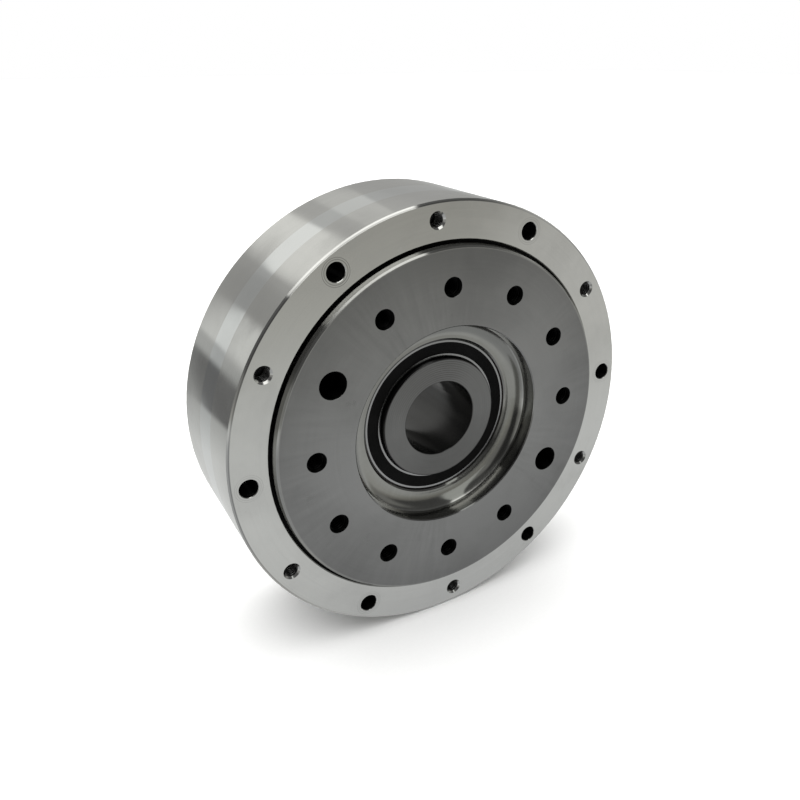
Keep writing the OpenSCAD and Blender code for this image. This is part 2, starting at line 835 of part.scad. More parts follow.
module rear_cycloid_disc() {
  cycloid_disc(eccentric_angle + 180, rear_disc_top);
}

roller_count = floor(PI * roller_pitch_r / (1.75 * roller_r));
roller_inset = 0.6;
cage_side_gap = 0.1;
cage_half = 0.8;

module eccentric_rollers(angle, top) {
  color(steel_hard) at_eccentric(angle, top) round_axis(roller_count, roller_pitch_r)
    hole(roller_r, -roller_inset, roller_inset - disc_thickness);
}

module eccentric_cage(angle, top) {
  pocket_inset = roller_inset - run_gap;
  color(cage_brass) at_eccentric(angle, top) difference() {
    ring(roller_pitch_r + cage_half, roller_pitch_r - cage_half,
      -cage_side_gap, cage_side_gap - disc_thickness);
    round_axis(roller_count, roller_pitch_r)
      hole(roller_r + run_gap, -pocket_inset, pocket_inset - disc_thickness);
  }
}

module front_eccentric_rollers() {
  eccentric_rollers(eccentric_angle, front_disc_top);
}

module rear_eccentric_rollers() {
  eccentric_rollers(eccentric_angle + 180, rear_disc_top);
}

module front_eccentric_cage() {
  eccentric_cage(eccentric_angle, front_disc_top);
}

module rear_eccentric_cage() {
  eccentric_cage(eccentric_angle + 180, rear_disc_top);
}

// Lays the reducer's axis along Y, with its front towards -Y
module laid() {
  rotate([90, 0, 0]) children();
}

laid() front_case_ring();
laid() pin_ring();
laid() rear_case_ring();
laid() ring_pins();
laid() case_screws();
laid() case_dowels();
laid() case_o_rings();
laid() front_oil_seal();
laid() rear_oil_seal();
laid() front_main_outer_race();
laid() rear_main_outer_race();
laid() front_main_inner_race();
laid() rear_main_inner_race();
laid() front_main_balls();
laid() rear_main_balls();
laid() front_main_cage();
laid() rear_main_cage();
laid() output_flange();
laid() rear_flange();
laid() flange_screws();
laid() output_pins();
laid() output_pin_sleeves();
laid() front_shaft_outer_race();
laid() rear_shaft_outer_race();
laid() front_shaft_seals();
laid() rear_shaft_seals();
laid() bearing_circlip();
laid() front_shaft_inner_race();
laid() rear_shaft_inner_race();
laid() front_shaft_balls();
laid() rear_shaft_balls();
laid() front_shaft_cage();
laid() rear_shaft_cage();
laid() input_shaft();
laid() front_eccentric_rollers();
laid() rear_eccentric_rollers();
laid() front_eccentric_cage();
laid() rear_eccentric_cage();
laid() front_cycloid_disc();
laid() rear_cycloid_disc();
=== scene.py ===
# %% [markdown]
# A cycloidal reducer on a pale table
#
# The real thing is a ring of turned steel, 140 mm across. A darker flange turns in its mouth, with a
# dished middle where the hollow input shaft shows. Nearly everything that shows was cut on a lathe, so
# nearly every finish here is made from the same idea: fine marks that run round the axis, and a gloss
# that they stretch.
#
# The solids come from the imported model, in metres, with the reducer's axis along Y. This first cell loads
# them, and part_box measures the box that a piece fills. Nothing added later may reach outside it.

# %% Load the reducer
import math

import bmesh
import bpy
from mathutils import Matrix, Vector


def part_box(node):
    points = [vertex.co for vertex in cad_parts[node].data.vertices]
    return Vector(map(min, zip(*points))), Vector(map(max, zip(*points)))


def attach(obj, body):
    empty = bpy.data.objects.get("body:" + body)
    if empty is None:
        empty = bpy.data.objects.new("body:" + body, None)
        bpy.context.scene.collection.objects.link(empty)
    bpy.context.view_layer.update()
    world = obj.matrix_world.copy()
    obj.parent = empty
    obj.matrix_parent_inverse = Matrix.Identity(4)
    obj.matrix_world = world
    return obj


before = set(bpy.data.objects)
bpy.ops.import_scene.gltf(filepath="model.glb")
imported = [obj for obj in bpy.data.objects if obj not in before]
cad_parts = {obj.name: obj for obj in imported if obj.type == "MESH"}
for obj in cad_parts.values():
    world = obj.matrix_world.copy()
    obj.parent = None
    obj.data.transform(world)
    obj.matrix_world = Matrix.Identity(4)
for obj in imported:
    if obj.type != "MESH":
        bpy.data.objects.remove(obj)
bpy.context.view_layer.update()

# %% [markdown]
# Sizes taken from the solids
#
# A finish often changes at a radius: the flange's dish is glossier than its face, and the case and the
# flange both have a fine painted line along the rim, painted shade on the case and a painted highlight
# on the flange. The lines at the rims are counted inwards from the solids' own edges, so they stay there
# if a piece grows, and so do the table and the threads.

# %% Measure the places where a finish changes
case_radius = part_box("front_case_ring")[1].x
flange_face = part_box("output_flange")[0].y
flange_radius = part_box("output_flange")[1].x
drive_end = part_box("input_shaft")[1].y
table_height = -case_radius
print("Case radius", round(case_radius, 4), "flange face", round(flange_face, 4),
      "drive end", round(drive_end, 4))

# %% [markdown]
# The camera
#
# The reducer is seen from its left and from above, from quite near, so its round mouth looks larger than
# its back. The camera is placed by its own three axes: to the right, up, and back towards the viewer.
# A matrix of these is easier to set exactly than three angles.

# %% Set the camera
camera_data = bpy.data.cameras.new("viewer")
camera_data.lens = 34.09
camera_data.sensor_width = 36.0
camera_data.sensor_fit = "HORIZONTAL"
camera_data.shift_x = -0.022
camera_data.shift_y = -0.061
camera_data.clip_start = 0.01
camera_data.clip_end = 20.0
camera_data.dof.use_dof = False
viewer = bpy.data.objects.new("viewer", camera_data)
bpy.context.collection.objects.link(viewer)
to_right = Vector((0.86441, -0.50279, 0.0))
to_top = Vector((0.18426, 0.31679, 0.93043))
to_viewer = Vector((-0.46781, -0.80427, 0.36648))
stands_at = Vector((-0.11495, -0.17956, 0.10813))
turned_to = Matrix((to_right, to_top, to_viewer)).transposed().to_4x4()
viewer.matrix_world = Matrix.Translation(stands_at) @ turned_to
bpy.context.scene.camera = viewer
print("Camera stands", round(stands_at.length, 3), "m from the middle of the front face")

# %% [markdown]
# Helpers for node trees
#
# A material, a world and a geometry tree are all built the same way: a node is added, its settings and
# its unlinked values are set, and some of its sockets are joined to the nodes before it. One helper does
# it in one line, which keeps each tree below short enough to read as a recipe.

# %% Define the node helpers
def feed(tree, socket, value):
    """Joins a socket to another node's socket, or sets its value."""
    if isinstance(value, bpy.types.NodeSocket):
        tree.links.new(value, socket)
    else:
        socket.default_value = value


def place(tree, kind, settings=(), **sockets):
    """One node in a tree. A socket is given by its name, or by i and its number where names repeat."""
    made = tree.nodes.new(kind)
    for name, value in dict(settings).items():
        setattr(made, name, value)
    for key, value in sockets.items():
        if key[0] == "i" and key[1:].isdigit():
            socket = made.inputs[int(key[1:])]
        else:
            wanted = key.replace("_", " ").lower()
            socket = next(s for s in made.inputs if s.name.lower() == wanted and s.enabled)
        feed(tree, socket, value)
    return made


def maths(tree, operation, *values):
    """The result of one sum on numbers or sockets."""
    made = place(tree, "ShaderNodeMath", {"operation": operation})
    for socket, value in zip(made.inputs, values):
        feed(tree, socket, value)
    return made.outputs[0]


def vector_maths(tree, operation, *values):
    """The result of one sum on vectors. Two of the sums give a number."""
    made = place(tree, "ShaderNodeVectorMath", {"operation": operation})
    for socket, value in zip(made.inputs, values):
        feed(tree, socket, value)
    return made.outputs["Value" if operation in ("LENGTH", "DOT_PRODUCT") else "Vector"]


def hypotenuse(tree, first, second):
    """The straight distance that two distances at a right angle make."""
    squares = [maths(tree, "MULTIPLY", side, side) for side in (first, second)]
    return maths(tree, "SQRT", maths(tree, "ADD", *squares))


print("Node helpers ready")

# %% [markdown]
# Helpers for shades
#
# Five more helpers turn numbers into shades. A soft step or a straight one makes a mask, a mix goes from
# one colour to another by a mask, and a colour ramp holds a whole row of shades. Noise is read in four
# dimensions: three are the place, and the fourth is the seed, which gives each finish its own marks.

# %% Define the shade helpers
def ramp_up(tree, value, start, end, low=0.0, high=1.0):
    """low before start, high after end, and a soft step between them."""
    return place(tree, "ShaderNodeMapRange", {"interpolation_type": "SMOOTHSTEP"}, i0=value,
                 i1=start, i2=end, i3=low, i4=high).outputs[0]


def ramp_up_straight(tree, value, start, end):
    """0 before start, 1 after end, and a straight line between them."""
    return place(tree, "ShaderNodeMapRange", {"clamp": True}, i0=value, i1=start, i2=end).outputs[0]


def blend_colours(tree, mask, first, second, blend="MIX"):
    """first where the mask is 0, second where it is 1."""
    made = place(tree, "ShaderNodeMix", {"data_type": "RGBA", "blend_type": blend},
                 i0=mask, i6=first, i7=second)
    return made.outputs[2]


def colour_ramp(tree, value, stops):
    """A ramp of colours. stops are (place from 0 to 1, colour) in rising order."""
    ramp = place(tree, "ShaderNodeValToRGB", (), Fac=value)
    marks = ramp.color_ramp.elements
    while len(marks) < len(stops):
        marks.new(0.5)
    for mark, (at, tint) in zip(marks, stops):
        mark.position = at
    for mark, (at, tint) in zip(marks, stops):
        mark.color = (*tint, 1)
    return ramp.outputs[0]


def noise(tree, where, seed, **looks):
    """Noise from 0 to 1 at a place. looks sets the node's scale, detail and roughness."""
    made = place(tree, "ShaderNodeTexNoise", {"noise_dimensions": "4D"}, Vector=where, W=seed, **looks)
    return made.outputs[0]


print("Shade helpers ready")

# %% [markdown]
# Helpers for groups and materials
#
# An effect that several finishes share is a node group: it is built once, with named inputs, and placed
# in each material with that material's own numbers. Every material here starts from an empty tree.

# %% Define the group and material helpers
def node_group(name, inputs, outputs):
    """An empty shader node group. inputs are (name, kind, default), and outputs are names."""
    group = bpy.data.node_groups.new(name, "ShaderNodeTree")
    for label, kind, value in inputs:
        socket = group.interface.new_socket(name=label, in_out="INPUT", socket_type="NodeSocket" + kind)
        if value is not None:
            socket.default_value = value
    for label in outputs:
        group.interface.new_socket(name=label, in_out="OUTPUT", socket_type="NodeSocketFloat")
    return group, place(group, "NodeGroupInput").outputs, place(group, "NodeGroupOutput").inputs


def use_group(tree, group, **given):
    """The outputs of a group placed in a tree. given sets its inputs by name."""
    return place(tree, "ShaderNodeGroup", {"node_tree": group}, **given).outputs


def blank_material(name):
    """A material and its empty tree."""
    material = bpy.data.materials.new(name)
    material.use_nodes = True
    material.node_tree.nodes.clear()
    return material, material.node_tree


print("Group and material helpers ready")

# %% [markdown]
# The studio's cards
#
# Polished steel shows the room more than its own colour, so the room is what has to be right. A small
# product studio is a white table, a few white cards and a dark place where the viewer stands, and these
# give a turned surface its bands. Each card here is a rectangle on one of the room's walls: a group finds
# where a direction meets that wall and gives a mask. Real lamps would work too, but a mask can have any
# edge, crisp or soft, and costs nothing to render.

# %% Build the card group
card_group, card_in, card_out = node_group("studio_card", [
    ("Direction", "Vector", None), ("Toward", "Vector", (0, 1, 0)), ("Across", "Vector", (1, 0, 0)),
    ("Upward", "Vector", (0, 0, 1)), ("Middle Across", "Float", 0.0), ("Middle Upward", "Float", 0.0),
    ("Half Width", "Float", 0.3), ("Half Height", "Float", 0.3), ("Soft Edge", "Float", 0.1)], ["Mask"])
faces = vector_maths(card_group, "DOT_PRODUCT", card_in["Direction"], card_in["Toward"])
ahead = maths(card_group, "MAXIMUM", faces, 0.001)  # never 0, because the next sums divide by it
card_mask = maths(card_group, "GREATER_THAN", faces, 0.0)
for side, middle, half in (("Across", "Middle Across", "Half Width"),
                           ("Upward", "Middle Upward", "Half Height")):
    along = vector_maths(card_group, "DOT_PRODUCT", card_in["Direction"], card_in[side])
    met = maths(card_group, "SUBTRACT", maths(card_group, "DIVIDE", along, ahead), card_in[middle])
    inside = maths(card_group, "SUBTRACT", card_in[half], maths(card_group, "ABSOLUTE", met))
    in_edges = maths(card_group, "DIVIDE", inside, card_in["Soft Edge"])
    card_mask = maths(card_group, "MULTIPLY", card_mask, ramp_up(card_group, in_edges, -0.5, 0.5))
feed(card_group, card_out["Mask"], card_mask)
print("Card group has", len(card_group.nodes), "nodes")

# %% [markdown]
# The walls of the studio
#
# Behind the reducer the room is bright at table height and mid grey above it. In front it is dark where
# the viewer stands, and the near half of the table is a warm grey. Two ramps hold these shades, each read
# at the slope at which a direction leaves the reducer: below 0 it meets the table, and above 0 a wall.

# %% Set up the two walls
world = bpy.data.worlds.new("studio")
bpy.context.scene.world = world
world.use_nodes = True
sky = world.node_tree
sky.nodes.clear()
looking = place(sky, "ShaderNodeTexCoord").outputs["Generated"]
parts = place(sky, "ShaderNodeSeparateXYZ", (), Vector=looking).outputs
level = maths(sky, "MAXIMUM", maths(sky, "ABSOLUTE", parts["Y"]), 0.02)  # never 0 either
slope = maths(sky, "DIVIDE", parts["Z"], level)
ramp_reach = 1.5


def wall_ramp(stops):
    """A ramp of colours over the slope. stops are (slope, colour) in rising order."""
    along = ramp_up_straight(sky, slope, -ramp_reach, ramp_reach)
    return colour_ramp(sky, along, [((at + ramp_reach) / (2 * ramp_reach), tint) for at, tint in stops])


behind = wall_ramp([
    (-1.5, (0.58, 0.58, 0.57)), (-0.9, (0.76, 0.77, 0.76)), (-0.55, (0.77, 0.78, 0.77)),
    (-0.38, (0.55, 0.56, 0.55)), (-0.06, (0.55, 0.56, 0.55)), (0.0, (0.43, 0.43, 0.42)),
    (0.30, (0.46, 0.46, 0.45)), (0.46, (0.60, 0.60, 0.585)), (1.5, (0.66, 0.66, 0.64))])
before = wall_ramp([
    (-1.5, (0.50, 0.51, 0.52)), (-1.0, (0.55, 0.56, 0.57)), (-0.85, (0.70, 0.71, 0.71)),
    (-0.70, (0.76, 0.77, 0.77)), (-0.50, (0.69, 0.70, 0.69)), (-0.36, (0.52, 0.52, 0.49)),
    (-0.24, (0.44, 0.435, 0.405)), (-0.04, (0.33, 0.32, 0.30)), (0.06, (0.11, 0.11, 0.11)),
    (1.5, (0.13, 0.13, 0.13))])
overlap = 0.08  # how far the two walls' shades run into each other, at either side
colour = blend_colours(sky, ramp_up(sky, parts["Y"], -overlap, overlap), before, behind)
print("Walls: behind and in front")

# %% [markdown]
# Hanging the cards
#
# The cards go over the walls one by one, and a later one covers an earlier one. Each is given by the wall
# that it hangs on and by where its middle lies, as if that wall stood one metre away. The window behind
# gives the bright bands on the case, the viewer's dark place shades the right side of the recess, the
# lamp in front gives the clear patch below it, and the ceiling lights the chamfers. Anyone who looks past
# the reducer sees plain white, so the viewer's own rays get white, and only reflections see the cards.

# %% Hang the cards
# Each wall: the direction towards it, the one across it and the one up it
walls = {"behind": ((0, 1, 0), (1, 0, 0), (0, 0, 1)), "before": ((0, -1, 0), (1, 0, 0), (0, 0, 1)),
         "ceiling": ((0, 0, 1), (1, 0, 0), (0, 1, 0))}
# Each card: wall, middle, half width and half height, soft edge, colour
cards = {
    "window": ("behind", (-0.11, 0.50), (0.16, 0.14), 0.03, (1.06, 1.06, 1.03)),
    "second pane": ("behind", (0.28, 0.46), (0.09, 0.10), 0.03, (0.72, 0.72, 0.70)),
    "window frame": ("behind", (-0.42, 0.27), (0.13, 0.08), 0.04, (0.42, 0.42, 0.41)),
    "low pane": ("behind", (-0.55, 0.08), (0.14, 0.11), 0.03, (0.92, 0.93, 0.91)),
    "table end": ("behind", (-0.53, -0.24), (0.15, 0.12), 0.04, (0.17, 0.17, 0.17)),
    "pale board": ("before", (1.25, -0.40), (0.50, 0.16), 0.25, (0.68, 0.68, 0.66)),
    "right wall": ("before", (3.20, 0.30), (1.70, 0.60), 0.80, (0.36, 0.36, 0.35)),
    "left wall": ("before", (-1.90, -0.02), (0.85, 0.42), 0.25, (0.36, 0.36, 0.35)),
    "viewer's shade": ("before", (-0.62, -0.80), (0.34, 0.85), 0.16, (0.21, 0.21, 0.20)),
    "viewer": ("before", (-0.60, 0.12), (0.36, 0.50), 0.16, (0.05, 0.05, 0.05)),
    "grey screen": ("before", (-0.03, 0.08), (0.18, 0.28), 0.14, (0.36, 0.36, 0.35)),
    "lamp": ("before", (0.295, 1.00), (0.175, 1.05), 0.04, (0.80, 0.82, 0.80)),
    "ceiling": ("ceiling", (-0.30, 0.065), (0.65, 0.735), 0.05, (1.7, 1.7, 1.67)),
}
for wall, middle, half, edge, tint in cards.values():
    toward, across, upward = walls[wall]
    mask = use_group(sky, card_group, Direction=looking, Toward=toward, Across=across, Upward=upward,
                     Middle_Across=middle[0], Middle_Upward=middle[1], Half_Width=half[0],
                     Half_Height=half[1], Soft_Edge=edge)["Mask"]
    colour = blend_colours(sky, mask, colour, (*tint, 1))
seen = place(sky, "ShaderNodeLightPath").outputs["Is Camera Ray"]
colour = blend_colours(sky, seen, colour, (1, 1, 1, 1))
lit = place(sky, "ShaderNodeBackground", (), Color=colour, Strength=1.0)
place(sky, "ShaderNodeOutputWorld", (), Surface=lit.outputs[0])
bpy.context.scene.view_settings.view_transform = "Standard"
print("Cards:", ", ".join(cards))

# %% [markdown]
# The table and its light
#
# The reducer stands on its edge like a wheel, so it touches the table along one line under the case. The
# table is a wide sheet with a matt, nearly white face. It is left out of the steel's reflections, because
# the studio's walls already stand for it there. A broad sun straight above lights it evenly, near and
# far, and leaves a soft shadow where the case meets it. A lamp would fade with distance and turn the far
# end of the table grey.

# %% Lay the table and light it
def table_sheet(reach):
    """A square sheet at the table's height. reach is how far it goes each way, in metres."""
    corners = [(x * reach, y * reach, table_height) for x, y in ((-1, -1), (1, -1), (1, 1), (-1, 1))]
    mesh = bpy.data.meshes.new("table")
    mesh.from_pydata(corners, [], [(0, 1, 2, 3)])
    sheet = bpy.data.objects.new("table", mesh)
    bpy.context.collection.objects.link(sheet)
    paper, tree = blank_material("table_paper")
    where = place(tree, "ShaderNodeTexCoord").outputs["Object"]
    grain = place(tree, "ShaderNodeTexNoise", (), Vector=where, Scale=900.0, Detail=3.0).outputs[0]
    tone = blend_colours(tree, grain, (0.90, 0.90, 0.90, 1), (0.94, 0.94, 0.94, 1))
    shader = place(tree, "ShaderNodeBsdfPrincipled", (), Base_Color=tone, Roughness=0.9)
    place(tree, "ShaderNodeOutputMaterial", (), Surface=shader.outputs[0])
    mesh.materials.append(paper)
    sheet.visible_glossy = False


def overhead_sun(strength, spread):
    """A sun straight above. spread is how wide it looks, in degrees."""
    data = bpy.data.lights.new("overhead_sun", "SUN")
    data.energy = strength
    data.angle = math.radians(spread)
    made = bpy.data.objects.new("overhead_sun", data)
    made.visible_glossy = False
    bpy.context.collection.objects.link(made)


table_sheet(reach=6.0)
overhead_sun(strength=2.6, spread=100.0)
print("Table at", round(table_height, 4), "m")

# %% [markdown]
# Turning marks
#
# A lathe leaves a fine spiral on everything it cuts. On a face the marks are circles round the axis, and
# on the outside they are circles along it, so both depend only on the distance from the axis and on the
# place along it. The group below reads noise at those two numbers. A very slow change round the circle is
# mixed in, so that each mark fades and comes back, as a real one does. An image would show its grid here,
# and ordinary noise would look like cast iron.

# %% Build the turning-mark group
marks_group, marks_in, marks_out = node_group("turning_marks", [
    ("Face Marks", "Float", 900.0), ("Side Marks", "Float", 900.0), ("Run Length", "Float", 1.5),
    ("Seed", "Float", 0.0)], ["Pattern", "Radius"])
on_part = place(marks_group, "ShaderNodeTexCoord").outputs["Object"]
split = place(marks_group, "ShaderNodeSeparateXYZ", (), Vector=on_part).outputs
flat = place(marks_group, "ShaderNodeCombineXYZ", (), X=split["X"], Z=split["Z"]).outputs[0]
radius = vector_maths(marks_group, "LENGTH", flat)
spoke = place(marks_group, "ShaderNodeSeparateXYZ", (),
              Vector=vector_maths(marks_group, "NORMALIZE", flat)).outputs
circle = [maths(marks_group, "MULTIPLY", spoke[axis], marks_in["Run Length"]) for axis in "XZ"]
across_marks = maths(marks_group, "MULTIPLY", radius, marks_in["Face Marks"])
along_marks = maths(marks_group, "MULTIPLY", split["Y"], marks_in["Side Marks"])
spot = place(marks_group, "ShaderNodeCombineXYZ", (), X=across_marks, Y=circle[0], Z=circle[1]).outputs[0]
pattern = noise(marks_group, spot, maths(marks_group, "ADD", along_marks, marks_in["Seed"]),
                Scale=1.0, Detail=5.0, Roughness=0.62)
feed(marks_group, marks_out["Pattern"], pattern)
feed(marks_group, marks_out["Radius"], radius)
print("Turning-mark group has", len(marks_group.nodes), "nodes")

# %% [markdown]
# Handling marks
#
# Bare steel that has been carried about has cloudy patches where fingers and oil dulled it, and a few
# short scratches. Both are kept faint. The clouds come from slow noise, and the scratches from noise
# stretched a long way in one direction and cut off high, so that only its peaks are left.

# %% Build the handling-mark group
hand_group, hand_in, hand_out = node_group("handling_marks", [
    ("Cloud Size", "Float", 40.0), ("Scratch Size", "Float", 260.0), ("Seed", "Float", 0.0)],
    ["Cloud", "Scratch"])
hand_place = place(hand_group, "ShaderNodeTexCoord").outputs["Object"]
cloud = noise(hand_group, hand_place, hand_in["Seed"], Scale=hand_in["Cloud Size"], Detail=4.0,
              Roughness=0.6)
slanted = place(hand_group, "ShaderNodeMapping", (), Vector=hand_place, Rotation=(0.5, 0.9, 0.3),
                Scale=(1.0, 0.06, 1.0)).outputs[0]
hairs = noise(hand_group, slanted, hand_in["Seed"], Scale=hand_in["Scratch Size"], Detail=3.0,
              Roughness=0.5)
feed(hand_group, hand_out["Cloud"], ramp_up(hand_group, cloud, 0.42, 0.68))
feed(hand_group, hand_out["Scratch"], ramp_up(hand_group, hairs, 0.66, 0.72))
print("Handling-mark group has", len(hand_group.nodes), "nodes")

# %% [markdown]
# Dark holes
#
# A drilled hole in bright steel looks black: light goes in and is lost between the oily walls of the
# thread. A hole only a few millimetres wide is too small for a path of light to lose itself in a render
# as well, so the walls and mouths get a mask, and the steel there is painted dark as painted shade. The
# holes lie evenly on a circle, so one turn of arithmetic finds the distance from the nearest hole's axis,
# whatever the number of holes.

# %% Build the hole group
hole_group, hole_in, hole_out = node_group("hole_shade", [
    ("Circle", "Float", 0.045), ("Count", "Float", 12.0), ("First", "Float", 0.0),
    ("Reach", "Float", 0.003)], ["Mask", "Distance"])
hole_place = place(hole_group, "ShaderNodeTexCoord").outputs["Object"]
hole_parts = place(hole_group, "ShaderNodeSeparateXYZ", (), Vector=hole_place).outputs
from_axis = hypotenuse(hole_group, hole_parts["X"], hole_parts["Z"])
turned_by = maths(hole_group, "SUBTRACT", maths(hole_group, "ARCTAN2", hole_parts["Z"], hole_parts["X"]),
                  maths(hole_group, "RADIANS", hole_in["First"]))
# Angles are counted in shares, one for each hole, with the hole in the middle of its share
share = maths(hole_group, "DIVIDE", math.tau, hole_in["Count"])
half_share = maths(hole_group, "MULTIPLY", share, 0.5)
in_share = maths(hole_group, "FLOORED_MODULO", maths(hole_group, "ADD", turned_by, half_share), share)
from_hole = maths(hole_group, "SUBTRACT", in_share, half_share)
beside = maths(hole_group, "MULTIPLY", from_axis, maths(hole_group, "SINE", from_hole))
outwards = maths(hole_group, "MULTIPLY", from_axis, maths(hole_group, "COSINE", from_hole))
hole_distance = hypotenuse(hole_group, beside, maths(hole_group, "SUBTRACT", outwards, hole_in["Circle"]))
feed(hole_group, hole_out["Mask"], maths(hole_group, "LESS_THAN", hole_distance, hole_in["Reach"]))
feed(hole_group, hole_out["Distance"], hole_distance)
print("Hole group has", len(hole_group.nodes), "nodes")

# %% [markdown]
# Wiping streaks
#
# A flange that has been wiped with a rag keeps faint streaks that run outwards. They are noise that
# changes fast round the axis and slowly outwards, and they show only in patches, where the rag pressed.

# %% Build the streak group
smear_group, smear_in, smear_out = node_group("wiping_streaks", [("Seed", "Float", 0.0)], ["Streaks"])
smear_place = place(smear_group, "ShaderNodeTexCoord").outputs["Object"]
smear_parts = place(smear_group, "ShaderNodeSeparateXYZ", (), Vector=smear_place).outputs
smear_flat = place(smear_group, "ShaderNodeCombineXYZ", (), X=smear_parts["X"],
                   Z=smear_parts["Z"]).outputs[0]
round_axis = vector_maths(smear_group, "MULTIPLY", vector_maths(smear_group, "NORMALIZE", smear_flat),
                          (26, 26, 26))
outward = maths(smear_group, "MULTIPLY", vector_maths(smear_group, "LENGTH", smear_flat), 60.0)
outward = place(smear_group, "ShaderNodeCombineXYZ", (), Y=outward).outputs[0]
streaks = noise(smear_group, vector_maths(smear_group, "ADD", round_axis, outward), smear_in["Seed"],
                Scale=1.0, Detail=3.0)
patches = noise(smear_group, smear_place, smear_in["Seed"], Scale=26.0, Detail=1.0)
centred = maths(smear_group, "SUBTRACT", streaks, 0.5)
where_wiped = ramp_up(smear_group, patches, 0.42, 0.62)
feed(smear_group, smear_out["Streaks"], maths(smear_group, "MULTIPLY", centred, where_wiped))
print("Streak group has", len(smear_group.nodes), "nodes")

# %% [markdown]
# Washer prints
#
# A washer leaves a pair of thin dark rings round its hole. They are two narrow bands on the distance from
# one hole's axis, which the hole group already measures, so this group places that group inside itself.

# %% Build the washer group
washer_group, washer_in, washer_out = node_group("washer_rings", [
    ("Circle", "Float", 0.0645), ("First", "Float", 0.0), ("Inner", "Float", 0.0035),
    ("Outer", "Float", 0.0041)], ["Rings"])
washer_far = use_group(washer_group, hole_group, Circle=washer_in["Circle"], Count=1.0,
                       First=washer_in["First"], Reach=0.001)["Distance"]
core = 0.4  # the share of a ring's half width that is fully dark
rings = 0.0
for edge, half in (("Inner", 0.00022), ("Outer", 0.00016)):
    off_ring = maths(washer_group, "ABSOLUTE", maths(washer_group, "SUBTRACT", washer_far, washer_in[edge]))
    ring = ramp_up(washer_group, off_ring, half * core, half, 1.0, 0.0)
    rings = maths(washer_group, "SUBTRACT", rings, ring)
feed(washer_group, washer_out["Rings"], rings)
print("Washer group has", len(washer_group.nodes), "nodes")

# %% [markdown]
# Shades that follow the radius
#
# A turned piece often changes shade outwards: a dish, a chamfer and a rim were cut by different tools. So
# a finish can list factors over the distance from the axis. Some are the steel's own tone, and the ones at
# chamfers, rims, the dish's step and the bore are painted highlights and painted shade. A ramp holds no
# value above 1, so the factors go in halved and come out doubled.

# %% Define the factors over the radius
ramp_room = 2.0


def radius_factors(tree, radius, stops):
    """Factors over the distance from the axis. stops are (radius, three factors) in rising order."""
    rows = [(at / case_radius, [factor / ramp_room for factor in factors]) for at, factors in stops]
    halved = colour_ramp(tree, maths(tree, "DIVIDE", radius, case_radius), rows)
    return vector_maths(tree, "MULTIPLY", halved, (ramp_room,) * 3)


print("Radius factors ready, up to", ramp_room)

# %% [markdown]
# One recipe for turned steel
#
# The case, the flange, the shaft and the bearing rings are all bare steel, and they differ in shade, in
# how coarse the marks are, and in how far the gloss is stretched. Metal reflects in its own colour, so
# the recipe has Metallic at 1 and a base colour for the shade. Its gloss is stretched across the marks:
# the tangent runs round the axis, and a quarter turn lays the long way of the gloss across it. Grooves
# that the tool's feed leaves are a wave over the radius.

# %% Define the turned-steel recipe
cloud_dimming = 0.08
scratch_dulling = 0.05
hole_dulling = 0.25


